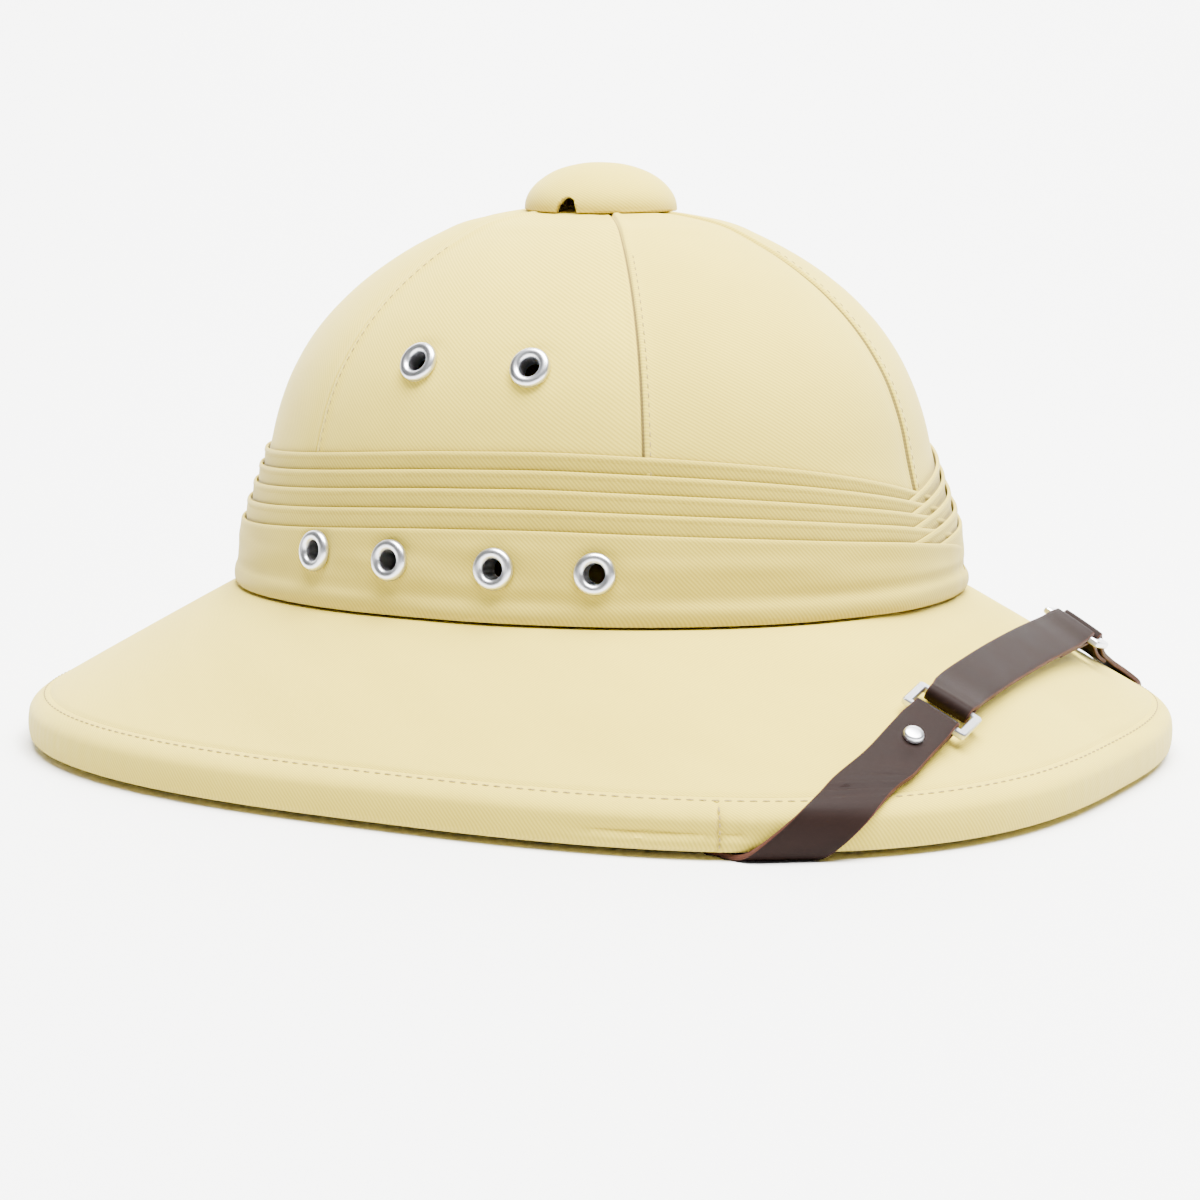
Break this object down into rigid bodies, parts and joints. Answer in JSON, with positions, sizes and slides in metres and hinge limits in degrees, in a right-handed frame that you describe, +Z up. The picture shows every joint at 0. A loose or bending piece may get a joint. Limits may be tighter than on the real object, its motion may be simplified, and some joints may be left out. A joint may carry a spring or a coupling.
{
  "type": "pith helmet",
  "caption": "Sun helmet with a domed panelled crown, sloping bound brim, pleated band, vent eyelets, a top button and a leather chin strap stowed over the front of the brim.",
  "frame": {"origin": "middle of the footprint, on the surface the helmet rests on", "axes": "+Z up, the front of the helmet faces -Y, +X is the wearer's left"},
  "size_m": [0.292, 0.34, 0.1769],
  "materials": {
    "cloth": "matt cotton twill over a pressed shell",
    "leather": "dark brown, semi-gloss",
    "metal": "bright nickel plate"
  },
  "bodies": {
    "root": {"crown": "cloth", "brim": "cloth", "brim_binding": "cloth", "band": "cloth", "button": "cloth", "strap_middle": "leather", "strap_right": "leather", "strap_left": "leather", "eyelet_upper_right_1": "metal", "eyelet_upper_right_2": "metal", "eyelet_upper_left_1": "metal", "eyelet_upper_left_2": "metal", "eyelet_lower_right_1": "metal", "eyelet_lower_right_2": "metal", "eyelet_lower_right_3": "metal", "eyelet_lower_right_4": "metal", "eyelet_lower_left_1": "metal", "eyelet_lower_left_2": "metal", "eyelet_lower_left_3": "metal", "eyelet_lower_left_4": "metal", "button_stem": "metal", "slide_right": "metal", "slide_left": "metal", "stud_right": "metal", "stud_left": "metal", "rivet_right": "metal", "rivet_left": "metal"}
  },
  "joints": []
}
